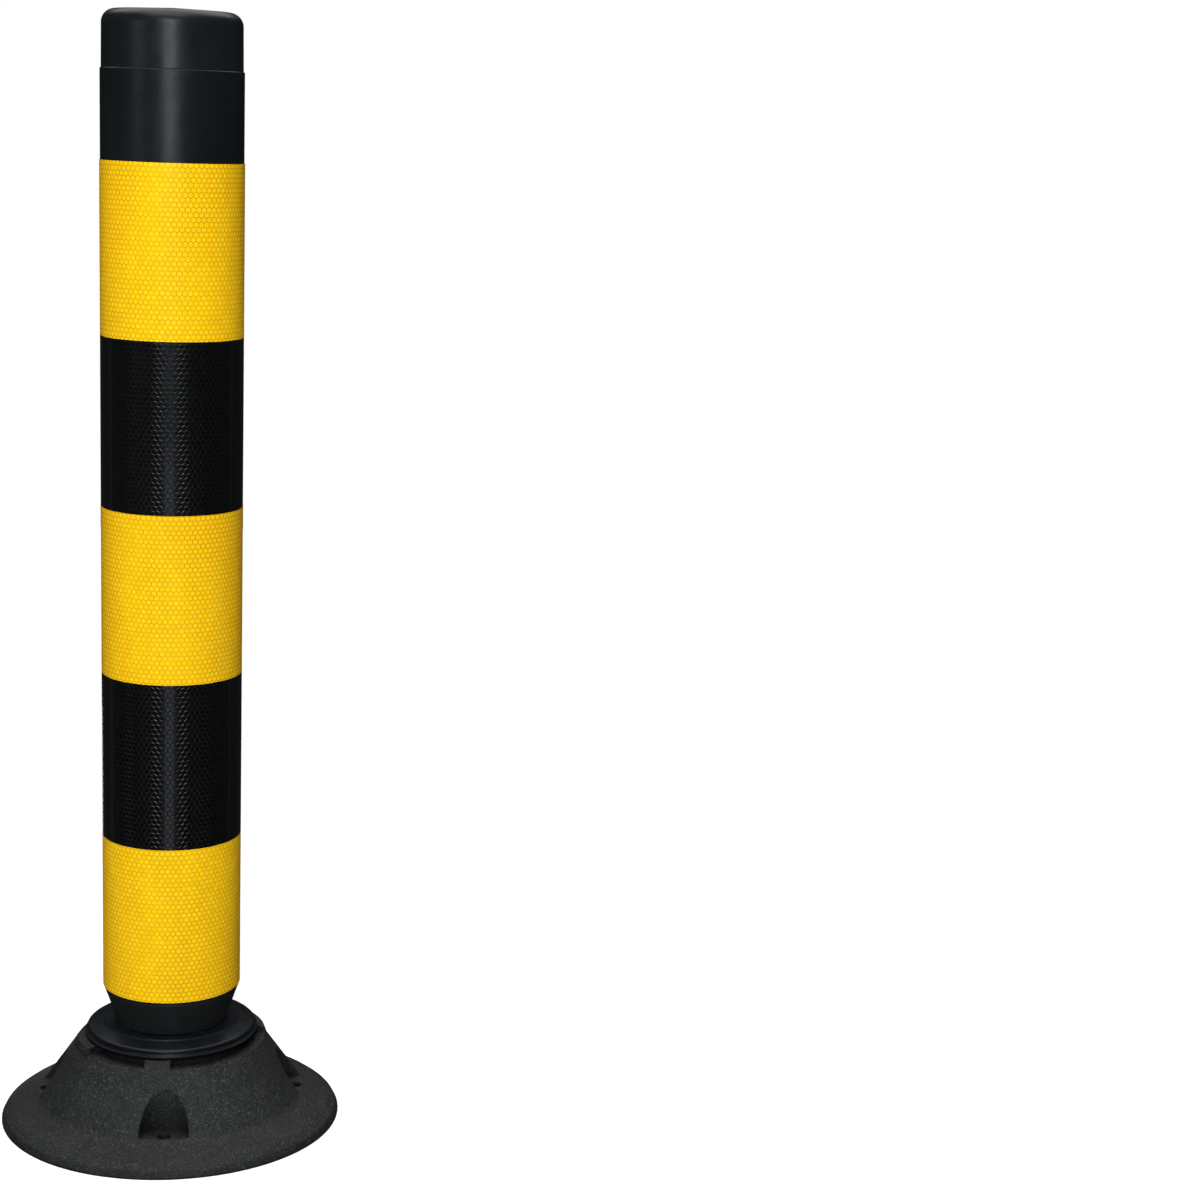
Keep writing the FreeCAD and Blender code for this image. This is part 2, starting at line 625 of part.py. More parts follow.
eye_body, eye_turn = revolved("eyelet_body", [
    (d("eyelet_bore") + 1.0, d("foot_low") + 0.4), (d("eyelet_seat") - 0.05, d("foot_low") + 0.4),
    (d("eyelet_seat") - 0.05, d("foot_floor") + 0.05), (d("eyelet_seat") + 2.4, d("foot_floor") + 0.05),
    (d("eyelet_seat") + 2.4, d("foot_floor") + 1.6), (d("eyelet_bore") + 1.0, d("foot_floor") + 1.6),
    (d("eyelet_bore"), d("foot_floor") + 0.6), (d("eyelet_bore"), d("foot_low") + 1.4)])
finish(eye_body, "wire_eyelet")

# ====================================================================== tube
tube_body, _ = revolved("tube_body", [
    (d("tube_bore"), d("tube_low") + 0.05), (d("tube_rad"), d("tube_low") + 0.05),
    (d("tube_rad"), d("tube_top") - 0.5), (d("tube_rad") - 0.5, d("tube_top")),
    (d("tube_bore"), d("tube_top"))])
pin_tools2 = []
for k, ang in enumerate((45, 165, 285)):
    t = doc.addObject("Part::Cylinder", "tube_tool%d" % k)
    setq(t, "Radius", d("pin_rad"))
    setq(t, "Height", d("tube_rad") - d("pin_in") + 2)
    a = math.radians(ang)
    t.Placement = FreeCAD.Placement(V(d("pin_in").val * math.cos(a), d("pin_in").val * math.sin(a), d("pin_high").val),
                                    FreeCAD.Rotation(V(0, 0, 1), V(math.cos(a), math.sin(a), 0)))
    t.setExpression("Placement.Base.z", d("pin_high").ex)
    pin_tools2.append(t)
tube_tools = doc.addObject("Part::Compound", "tube_tools")
tube_tools.Links = pin_tools2
finish(cut("tube_cut", tube_body, tube_tools), "post_tube")

# ============================================================ reflective film
BANDS = [("yellow_film_bottom", d("film_low"), d("band_one")), ("black_film_lower", d("band_one"), d("band_two")),
         ("black_film_upper", d("band_three"), d("band_four")), ("yellow_film_top", d("band_four"), d("band_five"))]
for label, low, high in BANDS:
    b, _ = revolved(label + "_body", [
        (d("tube_rad") + 0.01, low + 0.01), (d("film_rad"), low + 0.01),
        (d("film_rad"), high - 0.01), (d("tube_rad") + 0.01, high - 0.01)])
    finish(b, label)
# the middle band is spliced: its upper edge laps over the strip below
b, _ = revolved("yellow_film_middle_body", [
    (d("tube_rad") + 0.01, d("band_two") + 0.01), (d("film_rad"), d("band_two") + 0.01),
    (d("film_rad"), d("lap_high")), (d("lap_rad"), d("lap_high")),
    (d("lap_rad"), d("band_three") - 0.01), (d("tube_rad") + 0.01, d("band_three") - 0.01)])
finish(b, "yellow_film_middle")

# ======================================================================= cap
cap_body, cap_turn = revolved("cap_body", [
    (0, d("cap_top") - d("cap_wall")), (d("cap_plug") - d("cap_wall") - 7, d("cap_edge") - d("cap_wall")),
    (d("cap_plug") - d("cap_wall"), d("cap_edge") - d("cap_wall") - 7),
    (d("cap_plug") - d("cap_wall"), d("cap_plug_low")), (d("cap_plug") - 0.8, d("cap_plug_low")),
    (d("cap_plug"), d("cap_plug_low") + 2.5), (d("cap_plug"), d("tube_top") + 0.05),
    (d("cap_rad"), d("tube_top") + 0.05), (d("cap_rad") - 0.25, d("cap_edge")), (0, d("cap_top"))])
rounded(cap_body, cap_turn, "cap_edge_round", [(d("cap_rad") - 0.25, d("cap_edge"))], d("cap_round"))
finish(cap_body, "top_cap")

# =============================================================== spring pack
seat_body, _ = revolved("seat_body", [
    (d("seat_bore"), d("plug_top") + 0.05), (d("seat_plate"), d("plug_top") + 0.05),
    (d("seat_plate"), d("plug_top") + d("seat_thick")), (d("seat_bore"), d("plug_top") + d("seat_thick"))])
finish(seat_body, "spring_seat")
guide_body, _ = revolved("guide_body", [
    (d("guide_bore"), d("plug_top") + 0.1), (d("guide_rad"), d("plug_top") + 0.1),
    (d("guide_rad"), d("plug_top") + d("seat_thick") + 0.05),
    (d("guide_flange") + 4, d("plug_top") + d("seat_thick") + 0.05),
    (d("guide_flange") + 4, d("plug_top") + d("seat_thick") + 1.4),
    (d("guide_rad"), d("plug_top") + d("seat_thick") + 1.4),
    (d("guide_rad"), d("guide_top")), (d("guide_bore"), d("guide_top"))])
finish(guide_body, "spring_guide")

# compression spring: a round wire on a helix, closed off at both ends
SR, SW = sheet.get("spring_rad"), sheet.get("spring_wire")
SL, SH, ST = sheet.get("spring_low"), sheet.get("spring_high"), sheet.get("spring_turns")
pitch = (SH - SL - 2 * SW - 0.1) / ST
helix = Part.makeHelix(pitch, pitch * ST, SR)
helix.translate(V(0, 0, SL + SW + 0.05))
start = V(SR, 0, SL + SW + 0.05)
section = Part.Wire([Part.makeCircle(SW, start, V(0, 1, pitch / (2 * math.pi * SR)))])
coil = Part.Wire(helix.Edges).makePipeShell([section], True, True)
feature("compression_spring", coil)

pull_low = d("spring_high")
pull_body, _ = revolved("pull_body", [
    (0, pull_low - d("pull_nose_long")), (d("pull_nose") - 1, pull_low - d("pull_nose_long")),
    (d("pull_nose"), pull_low - d("pull_nose_long") + 1), (d("pull_nose"), pull_low),
    (d("pull_rad"), pull_low), (d("pull_rad"), pull_low + d("pull_thick")), (0, pull_low + d("pull_thick"))])
doc.recompute()
P_LOW = sheet.get("spring_high") - sheet.get("pull_nose_long")
P_TOP = sheet.get("spring_high") + sheet.get("pull_thick")
up_lo, up_hi = sheet.get("upper_low"), P_TOP + sheet.get("clip_long") - 1


def upper_axis(a):
    top = ringpt(sheet.get("pull_spread"), a, P_TOP)
    low = ringpt(sheet.get("upper_spread"), a, up_lo)
    ax = top.sub(low)
    ax.normalize()
    return low, top, ax


bores = []
uppers = []
clips = []
for a in rings:
    low, top, ax = upper_axis(a)
    span_v = top.sub(low)
    end = top.add(V(ax.x, ax.y, ax.z) * (sheet.get("clip_long") - 1.0))
    uppers.append(rod(WR, low, end))
    bores.append(rod(WR + 0.04, low, end))
    c = Part.makeCylinder(sheet.get("clip_rad"), sheet.get("clip_long"), V(top.x, top.y, P_TOP + 0.02), V(0, 0, 1))
    clips.append(c.cut(rod(WR + 0.02, low, end)))
feature("upper_wires", Part.makeCompound(uppers))
feature("upper_crimps", Part.makeCompound(clips))
pull_tool = doc.addObject("Part::Feature", "pull_wire_bores")
pull_tool.Shape = Part.makeCompound(bores)
finish(cut("pull_cut", pull_body, pull_tool), "pull_plate")

# ==================================================================== write
doc.recompute()
bad = []
for o in doc.Objects:
    if "Invalid" in o.State or "Error" in o.State:
        bad.append("%s %s" % (o.Name, o.State))
seen = set()
for label, o in FINAL:
    s = o.Shape
    if s.isNull() or not s.isValid() or len(s.Solids) < 1:
        bad.append("%s shape null/invalid/solids" % label)
    if label in seen or len(label) >= 60:
        bad.append("%s name" % label)
    seen.add(label)
if bad:
    raise RuntimeError("; ".join(bad))
os.makedirs("parts", exist_ok=True)
for label, o in FINAL:
    o.Shape.exportStep("parts/%s.step" % label)
    bb = o.Shape.BoundBox
    print("%-22s solids %d  vol %10.1f  z %.2f..%.2f  r %.2f" % (
        label, len(o.Shape.Solids), o.Shape.Volume, bb.ZMin, bb.ZMax, max(bb.XMax, bb.YMax)))
print(len(FINAL), "nodes")
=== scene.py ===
import bpy
import bmesh
import math
from mathutils import Vector, Matrix


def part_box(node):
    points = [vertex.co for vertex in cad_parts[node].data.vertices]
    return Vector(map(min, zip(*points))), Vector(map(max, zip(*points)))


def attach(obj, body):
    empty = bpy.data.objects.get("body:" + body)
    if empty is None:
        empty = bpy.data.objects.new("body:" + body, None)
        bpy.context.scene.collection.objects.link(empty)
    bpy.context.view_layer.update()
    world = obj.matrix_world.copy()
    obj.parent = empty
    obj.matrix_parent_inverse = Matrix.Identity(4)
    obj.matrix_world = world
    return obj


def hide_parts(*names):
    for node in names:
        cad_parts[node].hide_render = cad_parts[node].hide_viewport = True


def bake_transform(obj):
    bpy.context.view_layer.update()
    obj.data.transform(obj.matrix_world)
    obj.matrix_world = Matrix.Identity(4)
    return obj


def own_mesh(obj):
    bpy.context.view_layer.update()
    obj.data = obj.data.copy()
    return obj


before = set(bpy.data.objects)
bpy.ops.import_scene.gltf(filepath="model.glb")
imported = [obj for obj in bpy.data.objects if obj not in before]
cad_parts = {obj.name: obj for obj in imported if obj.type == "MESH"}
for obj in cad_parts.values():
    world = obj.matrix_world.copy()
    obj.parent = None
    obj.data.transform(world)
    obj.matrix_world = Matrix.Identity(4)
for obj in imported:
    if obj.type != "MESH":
        bpy.data.objects.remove(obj)
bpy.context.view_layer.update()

NODES = {n: bpy.data.objects.get(n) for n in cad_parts}
scene = bpy.context.scene


# ------------------------------------------------------------------ node kit
class Tree:
    """short calls for building a procedural material"""

    def __init__(self, name):
        self.mat = bpy.data.materials.new(name)
        self.mat.use_nodes = True
        self.nt = self.mat.node_tree
        self.nt.nodes.clear()
        self.out = self.nt.nodes.new("ShaderNodeOutputMaterial")
        self.bsdf = self.nt.nodes.new("ShaderNodeBsdfPrincipled")
        self.link(self.bsdf.outputs[0], self.out.inputs["Surface"])

    def link(self, a, b):
        self.nt.links.new(a, b)

    def put(self, socket, value):
        if hasattr(value, "is_output") or hasattr(value, "links"):
            self.link(value, socket)
        else:
            socket.default_value = value

    def node(self, kind, **props):
        n = self.nt.nodes.new(kind)
        for k, v in props.items():
            setattr(n, k, v)
        return n

    def coords(self):
        return self.node("ShaderNodeTexCoord").outputs["Object"]

    def math(self, op, a, b=None, c=None, clamp=False):
        n = self.node("ShaderNodeMath", operation=op, use_clamp=clamp)
        for i, v in enumerate((a, b, c)):
            if v is not None:
                self.put(n.inputs[i], v)
        return n.outputs[0]

    def vmath(self, op, a, b=None, scale=None):
        n = self.node("ShaderNodeVectorMath", operation=op)
        self.put(n.inputs[0], a)
        if b is not None:
            self.put(n.inputs[1], b)
        if scale is not None:
            self.put(n.inputs["Scale"], scale)
        return n

    def sep(self, v):
        n = self.node("ShaderNodeSeparateXYZ")
        self.link(v, n.inputs[0])
        return n.outputs

    def comb(self, x, y, z):
        n = self.node("ShaderNodeCombineXYZ")
        for i, v in enumerate((x, y, z)):
            self.put(n.inputs[i], v)
        return n.outputs[0]

    def noise(self, vec, scale, detail=4.0, rough=0.55, dist=0.0):
        n = self.node("ShaderNodeTexNoise")
        self.put(n.inputs["Vector"], vec)
        n.inputs["Scale"].default_value = scale
        n.inputs["Detail"].default_value = detail
        n.inputs["Roughness"].default_value = rough
        n.inputs["Distortion"].default_value = dist
        return n.outputs["Fac"]

    def voronoi(self, vec, scale, feature="F1", rand=1.0):
        n = self.node("ShaderNodeTexVoronoi", feature=feature)
        self.put(n.inputs["Vector"], vec)
        n.inputs["Scale"].default_value = scale
        n.inputs["Randomness"].default_value = rand
        return n.outputs["Distance"]

    def ramp(self, fac, stops, interp="LINEAR"):
        n = self.node("ShaderNodeValToRGB")
        n.color_ramp.interpolation = interp
        cr = n.color_ramp
        while len(cr.elements) < len(stops):
            cr.elements.new(0.5)
        for e, (p, c) in zip(cr.elements, stops):
            e.position = p
            e.color = c if len(c) == 4 else (*c, 1.0)
        self.put(n.inputs[0], fac)
        return n.outputs[0]

    def remap(self, v, a, b, c, d, clamp=True, smooth=False):
        n = self.node("ShaderNodeMapRange", clamp=clamp)
        if smooth:
            n.interpolation_type = "SMOOTHSTEP"
        self.put(n.inputs[0], v)
        for i, x in enumerate((a, b, c, d)):
            n.inputs[i + 1].default_value = x
        return n.outputs[0]

    def mix(self, fac, a, b):
        n = self.node("ShaderNodeMix", data_type="RGBA")
        self.put(n.inputs[0], fac)
        self.put(n.inputs[6], a if not isinstance(a, tuple) else (*a, 1.0) if len(a) == 3 else a)
        self.put(n.inputs[7], b if not isinstance(b, tuple) else (*b, 1.0) if len(b) == 3 else b)
        return n.outputs[2]

    def bump(self, height, strength, distance, normal=None):
        n = self.node("ShaderNodeBump")
        n.inputs["Strength"].default_value = strength
        n.inputs["Distance"].default_value = distance
        self.put(n.inputs["Height"], height)
        if normal is not None:
            self.link(normal, n.inputs["Normal"])
        return n.outputs[0]

    def soft_edge(self, radius):
        """normals that turn smoothly over each sharp edge of the moulding"""
        n = self.node("ShaderNodeBevel", samples=6)
        n.inputs["Radius"].default_value = radius
        return n.outputs[0]

    def set(self, **kw):
        names = {"color": "Base Color", "rough": "Roughness", "metal": "Metallic", "ior": "IOR",
                 "spec": "Specular IOR Level", "coat": "Coat Weight", "coat_rough": "Coat Roughness",
                 "coat_ior": "Coat IOR", "normal": "Normal", "coat_normal": "Coat Normal",
                 "sheen": "Sheen Weight", "aniso": "Anisotropic"}
        for k, v in kw.items():
            s = self.bsdf.inputs[names[k]]
            if isinstance(v, tuple) and len(v) == 3:
                v = (*v, 1.0)
            self.put(s, v)


def dress(node, tree):
    ob = NODES[node]
    for slot in ob.material_slots:
        slot.material = tree.mat


# ---------------------------------------------------- honeycomb in the film
def honeycomb(t, radius, around, phase=0.0):
    """pointy-topped cells in horizontal rows on a tube: returns the distance
    from the cell's middle (0 to 0.5 at the wall), and a number for each cell"""
    co = t.coords()
    x, y, z = t.sep(co)
    ang = t.math("ARCTAN2", y, x)
    u = t.math("MULTIPLY_ADD", ang, around / (2 * math.pi), 400.0 + phase)
    pitch = 2 * math.pi * radius / around
    v = t.math("MULTIPLY_ADD", z, 1.0 / pitch, 40.0)
    rt = math.sqrt(3.0)

    def cell(du, dv):
        uu = t.math("SUBTRACT", t.math("FRACT", t.math("ADD", u, du)), 0.5)
        vv = t.math("SUBTRACT", t.math("MULTIPLY", t.math("FRACT", t.math("DIVIDE", t.math("ADD", v, dv), rt)), rt), rt / 2)
        return uu, vv
    au, av = cell(0.0, 0.0)
    bu, bv = cell(0.5, rt / 2)
    la = t.math("ADD", t.math("MULTIPLY", au, au), t.math("MULTIPLY", av, av))
    lb = t.math("ADD", t.math("MULTIPLY", bu, bu), t.math("MULTIPLY", bv, bv))
    pick = t.math("LESS_THAN", la, lb)

    def choose(p, q):
        # pick*p + (1-pick)*q
        return t.math("ADD", t.math("MULTIPLY", pick, p), t.math("MULTIPLY", t.math("SUBTRACT", 1.0, pick), q))
    gu, gv = choose(au, bu), choose(av, bv)
    absu, absv = t.math("ABSOLUTE", gu), t.math("ABSOLUTE", gv)
    slant = t.math("ADD", t.math("MULTIPLY", absu, 0.5), t.math("MULTIPLY", absv, rt / 2))
    dist = t.math("MAXIMUM", absu, slant)
    idu, idv = t.math("SUBTRACT", u, gu), t.math("SUBTRACT", v, gv)
    return dist, idu, idv, co


def film(name, yellow):
    t = Tree(name)
    dist, iu, iv, co = honeycomb(t, 0.0404, 82)
    wall = t.remap(dist, 0.34, 0.46, 0.0, 1.0, smooth=True)
    cellnoise = t.node("ShaderNodeTexWhiteNoise", noise_dimensions="2D")
    t.link(t.comb(iu, iv, 0.0), cellnoise.inputs["Vector"])
    rnd = cellnoise.outputs["Value"]
    broad = t.noise(co, 9.0, 3.0)
    patch = t.noise(t.vmath("MULTIPLY", co, (1.0, 1.0, 0.35)).outputs[0], 26.0, 2.0)
    # the cube corners inside each cell: a fine grain
    fine = t.voronoi(co, 2600.0)
    if yellow:
        inner = t.mix(rnd, (0.880, 0.500, 0.0045), (0.990, 0.625, 0.0060))
        inner = t.mix(t.remap(broad, 0.35, 0.65, 0.0, 0.40), inner, (0.890, 0.462, 0.0040))
        inner = t.mix(t.remap(patch, 0.45, 0.70, 0.0, 0.35), inner, (0.900, 0.478, 0.0045))
        inner = t.mix(t.remap(fine, 0.2, 0.8, 0.0, 0.12), inner, (1.000, 0.680, 0.010))
        color = t.mix(t.math("MULTIPLY", wall, t.remap(patch, 0.35, 0.65, 0.62, 0.95)), inner, (0.560, 0.270, 0.0060))
        t.set(color=color, spec=0.08, coat=0.09, coat_rough=0.12)
    else:
        inner = t.mix(rnd, (0.0010, 0.0011, 0.0011), (0.0019, 0.0020, 0.0019))
        inner = t.mix(t.remap(broad, 0.35, 0.65, 0.0, 0.4), inner, (0.0020, 0.0020, 0.0018))
        color = t.mix(t.math("MULTIPLY", wall, 0.5), inner, (0.0050, 0.0052, 0.0050))
        t.set(color=color, spec=0.26, coat=0.85, coat_rough=0.07)
    rough = t.math("ADD", t.remap(wall, 0.0, 1.0, 0.34, 0.46), t.remap(broad, 0.3, 0.7, -0.03, 0.03))
    t.set(rough=rough)
    # each cell is a shallow pillow between raised walls
    pillow = t.remap(dist, 0.0, 0.36, 0.07, 0.0, smooth=True)
    ridge = t.remap(dist, 0.37, 0.50, 0.0, 1.0, smooth=True)
    height = t.math("ADD", pillow, ridge)
    nrm = t.bump(height, 1.0, 0.00012)
    t.set(coat_normal=nrm)
    height = t.math("ADD", height, t.math("MULTIPLY", fine, 0.05))
    soft = t.bump(t.math("ADD", height, t.math("MULTIPLY", broad, 4.0)), 1.0, 0.00003)
    t.set(normal=soft)
    return t


def satin_plastic(name, color, vary, rough, bumpy=0.00006, edge=0.0005, spec=0.5):
    t = Tree(name)
    co = t.coords()
    big = t.noise(co, 14.0, 4.0)
    mid = t.noise(co, 120.0, 5.0)
    fine = t.noise(co, 1400.0, 3.0)
    c = t.mix(t.remap(big, 0.3, 0.7, 0.0, 1.0), color, vary)
    c = t.mix(t.remap(fine, 0.55, 0.75, 0.0, 0.25), c, tuple(v * 1.8 for v in vary))
    t.set(color=c)
    r = t.math("ADD", t.remap(mid, 0.3, 0.7, rough - 0.05, rough + 0.05), t.remap(fine, 0.3, 0.7, -0.03, 0.03))
    t.set(rough=r)
    nrm = t.bump(fine, 0.5, bumpy, t.soft_edge(edge))
    nrm = t.bump(mid, 0.35, bumpy * 3, nrm)
    t.set(normal=nrm, spec=spec)
    return t


def rubber(name):
    t = Tree(name)
    co = t.coords()
    big = t.noise(co, 11.0, 5.0, 0.6)
    mid = t.noise(co, 90.0, 6.0, 0.6)
    crumb = t.noise(co, 560.0, 4.0, 0.70)
    grain = t.noise(co, 820.0, 3.0, 0.7)
    peb = t.voronoi(co, 620.0)
    c = t.mix(t.remap(big, 0.3, 0.7, 0.0, 1.0), (0.0108, 0.0120, 0.0132), (0.0178, 0.0190, 0.0200))
    c = t.mix(t.remap(crumb, 0.34, 0.52, 0.75, 0.0), c, (0.0050, 0.0055, 0.0058))
    c = t.mix(t.remap(grain, 0.54, 0.68, 0.0, 0.95), c, (0.078, 0.081, 0.083))
    c = t.mix(t.remap(mid, 0.58, 0.8, 0.0, 0.35), c, (0.034, 0.036, 0.038))
    # painted shade: the rubber's colour is pulled towards near-black wherever the ambient-occlusion node finds other
    # surfaces within 3 cm, in crevices, recesses and under the ring
    ao = t.node("ShaderNodeAmbientOcclusion", samples=6)
    ao.inputs["Distance"].default_value = 0.030
    c = t.mix(t.remap(ao.outputs["AO"], 0.38, 0.90, 0.85, 0.0), c, (0.0022, 0.0024, 0.0026))
    t.set(color=c, spec=0.42)
    r = t.math("ADD", t.remap(mid, 0.3, 0.7, 0.44, 0.58), t.remap(grain, 0.3, 0.7, -0.07, 0.07))
    t.set(rough=r)
    nrm = t.bump(peb, 0.9, 0.00055, t.soft_edge(0.0010))
    nrm = t.bump(crumb, 1.0, 0.00085, nrm)
    nrm = t.bump(mid, 0.45, 0.0009, nrm)
    t.set(normal=nrm)
    return t


def steel(name, tint=(0.56, 0.57, 0.58), rough=0.28):
    t = Tree(name)
    co = t.coords()
    x, y, z = t.sep(co)
    streak = t.noise(t.comb(t.math("MULTIPLY", x, 1.0), t.math("MULTIPLY", y, 1.0), t.math("MULTIPLY", z, 14.0)), 300.0, 4.0)
    spang = t.voronoi(co, 160.0)
    c = t.mix(t.remap(spang, 0.0, 0.9, 0.0, 1.0), tint, tuple(v * 0.8 for v in tint))
    t.set(color=c, metal=1.0)
    t.set(rough=t.remap(streak, 0.3, 0.7, rough - 0.08, rough + 0.10))
    t.set(normal=t.bump(streak, 0.3, 0.00005))
    return t


yellow_film = film("film_yellow", True)
black_film = film("film_black", False)
base_rubber = rubber("base_rubber")
tube_mat = satin_plastic("tube_black", (0.0042, 0.0054, 0.0062), (0.0064, 0.0080, 0.0090), 0.35)
cap_mat = satin_plastic("cap_black", (0.0052, 0.0068, 0.0080), (0.0082, 0.0102, 0.0116), 0.33)
foot_mat = satin_plastic("foot_black", (0.0085, 0.0092, 0.0100), (0.0125, 0.0135, 0.0145), 0.40)
ring_mat = satin_plastic("ring_black", (0.0036, 0.0045, 0.0060), (0.0062, 0.0076, 0.0096), 0.33, 0.00002, 0.0007)
hub_mat = satin_plastic("hub_grey", (0.030, 0.032, 0.037), (0.050, 0.053, 0.060), 0.30, 0.00004, 0.0006)
zinc = steel("zinc_steel")
wire_mat = steel("wire_steel", (0.36, 0.31, 0.23), 0.34)
spring_mat = satin_plastic("spring_black", (0.02, 0.02, 0.022), (0.03, 0.03, 0.033), 0.3)
nylon = satin_plastic("nylon_natural", (0.62, 0.60, 0.54), (0.70, 0.68, 0.62), 0.42)

for n, t in {
    "base_shell": base_rubber, "socket_ring": ring_mat, "hub_spider": hub_mat, "clamp_plate": zinc,
    "ring_screws": zinc, "spider_spacer": nylon, "thrust_washer": nylon, "wire_anchor": zinc,
    "lower_wires": wire_mat, "lower_crimps": zinc, "wire_span": wire_mat, "foot_cone": foot_mat,
    "foot_rivets": zinc, "wire_eyelet": nylon, "post_tube": tube_mat, "yellow_film_bottom": yellow_film,
    "yellow_film_middle": yellow_film, "yellow_film_top": yellow_film, "black_film_lower": black_film,
    "black_film_upper": black_film, "top_cap": cap_mat, "spring_seat": zinc, "spring_guide": nylon,
    "compression_spring": spring_mat, "pull_plate": zinc, "upper_wires": wire_mat, "upper_crimps": zinc,
}.items():
    dress(n, t)

# ------------------------------------------------- pieces made for this view
def mesh_object(name, verts, faces, material, smooth=True):
    me = bpy.data.meshes.new(name)
    me.from_pydata(verts, [], faces)
    me.update()
    if smooth:
        me.polygons.foreach_set("use_smooth", [True] * len(me.polygons))
    me.materials.append(material)
    ob = bpy.data.objects.new(name, me)
    scene.collection.objects.link(ob)
    return ob


def sweep(path, radius, sides, verts, faces):
    """adds a round bar along the path, closed at both ends"""
    n = len(path)
    base = len(verts)
    last = None
    for i, p in enumerate(path):
        t = (path[min(i + 1, n - 1)] - path[max(i - 1, 0)]).normalized()
        if last is None:
            ref = Vector((1, 0, 0)) if abs(t.x) < 0.8 else Vector((0, 1, 0))
            side = t.cross(ref).normalized()
        else:
            side = (last - t * last.dot(t)).normalized()
        last = side
        other = t.cross(side)
        r = radius(i / (n - 1)) if callable(radius) else radius
        for k in range(sides):
            a = 2 * math.pi * k / sides
            verts.append(tuple(p + (side * math.cos(a) + other * math.sin(a)) * r))
    for i in range(n - 1):
        for k in range(sides):
            k2 = (k + 1) % sides
            faces.append((base + i * sides + k, base + i * sides + k2,
                          base + (i + 1) * sides + k2, base + (i + 1) * sides + k))
    faces.append(tuple(base + k for k in reversed(range(sides))))
    faces.append(tuple(base + (n - 1) * sides + k for k in range(sides)))


def centres(node):
    """plan position of each loose part of a CAD node at its lower and upper end"""
    ob = NODES[node]
    bm = bmesh.new()
    bm.from_mesh(ob.data)
    bm.transform(ob.matrix_world)
    bmesh.ops.remove_doubles(bm, verts=bm.verts, dist=2e-6)
    seen, out = set(), []
    for v in bm.verts:
        if v.index in seen:
            continue
        stack, part = [v], []
        seen.add(v.index)
        while stack:
            w = stack.pop()
            part.append(w.co.copy())
            for e in w.link_edges:
                o = e.other_vert(w)
                if o.index not in seen:
                    seen.add(o.index)
                    stack.append(o)
        zlo, zhi = min(p.z for p in part), max(p.z for p in part)
        ends = []
        for z in (zlo, zhi):
            near = [p for p in part if abs(p.z - z) < 0.0008]
            xs, ys = [p.x for p in near], [p.y for p in near]
            ends.append(Vector(((min(xs) + max(xs)) / 2, (min(ys) + max(ys)) / 2, z)))
        out.append(ends)
    bm.free()
    return sorted(out, key=lambda e: math.atan2(e[0].y, e[0].x))


# the six steel wires: three twisted strands each, in one length from the
# crimps under the hub to the end of the leaning span
hub_ends, span_ends = centres("lower_wires"), centres("wire_span")
verts, faces = [], []
for (low, mouth), (start, end) in zip(hub_ends, span_ends):
    knots = [low, low.lerp(mouth, 0.5), mouth, start.lerp(end, 0.10), start.lerp(end, 0.5), end]
    total = end.z - low.z
    steps = 120
    for strand in range(3):
        path = []
        for i in range(steps + 1):
            z = low.z + 0.00015 + (total - 0.0003) * i / steps
            for a, b in zip(knots, knots[1:]):
                if z <= b.z or b is knots[-1]:
                    p = a.lerp(b, (z - a.z) / (b.z - a.z))
                    break
            ang = 2 * math.pi * (z / 0.0072 + strand / 3.0)
            path.append(Vector((p.x + 0.00029 * math.cos(ang), p.y + 0.00029 * math.sin(ang), z)))
        sweep(path, 0.00029, 6, verts, faces)
lower_rope = mesh_object("twisted_wires", verts, faces, wire_mat.mat)
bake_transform(lower_rope)
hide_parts("lower_wires", "wire_span")

# the compression spring, closed and ground at both ends
s_lo, s_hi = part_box("compression_spring")
wire_r = 0.0024
mean_r = s_hi[0] - wire_r
turns, flat = 13.0, 1.1
bottom, top = s_lo[2] + wire_r, s_hi[2] - wire_r
pitch_end = 2 * wire_r + 0.0002
path = []
count = int(turns * 40)
for i in range(count + 1):
    u = turns * i / count
    if u < flat:
        z = bottom + pitch_end * u * 0.55
    elif u > turns - flat:
        z = top - pitch_end * (turns - u) * 0.55
    else:
        lo_z = bottom + pitch_end * flat * 0.55
        hi_z = top - pitch_end * flat * 0.55
        z = lo_z + (hi_z - lo_z) * (u - flat) / (turns - 2 * flat)
    a = 2 * math.pi * u
    path.append(Vector((mean_r * math.cos(a), mean_r * math.sin(a), z)))
verts, faces = [], []
sweep(path, wire_r, 14, verts, faces)
coil = mesh_object("coil_spring", verts, faces, spring_mat.mat)
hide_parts("compression_spring")
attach(coil, "post")
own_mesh(coil)

# ------------------------------------------------------------------- camera
cam_data = bpy.data.cameras.new("view_camera")
cam = bpy.data.objects.new("view_camera", cam_data)
scene.collection.objects.link(cam)
scene.camera = cam
cam_data.sensor_width = 36.0
cam_data.lens = 2426.2 / 1200.0 * 36.0
yaw, pitch, roll = math.radians(6.821), math.radians(11.206), math.radians(2.053)
fwd = Vector((math.sin(yaw) * math.cos(pitch), math.cos(yaw) * math.cos(pitch), -math.sin(pitch)))
right = Vector((math.cos(yaw), -math.sin(yaw), 0.0))
up = right.cross(fwd)
r2 = right * math.cos(roll) + up * math.sin(roll)
u2 = -right * math.sin(roll) + up * math.cos(roll)
cam.matrix_world = Matrix(((r2.x, u2.x, -fwd.x, 0.0827), (r2.y, u2.y, -fwd.y, -1.4015),
                           (r2.z, u2.z, -fwd.z, 0.5979), (0, 0, 0, 1)))
cam_data.clip_start, cam_data.clip_end = 0.01, 200.0

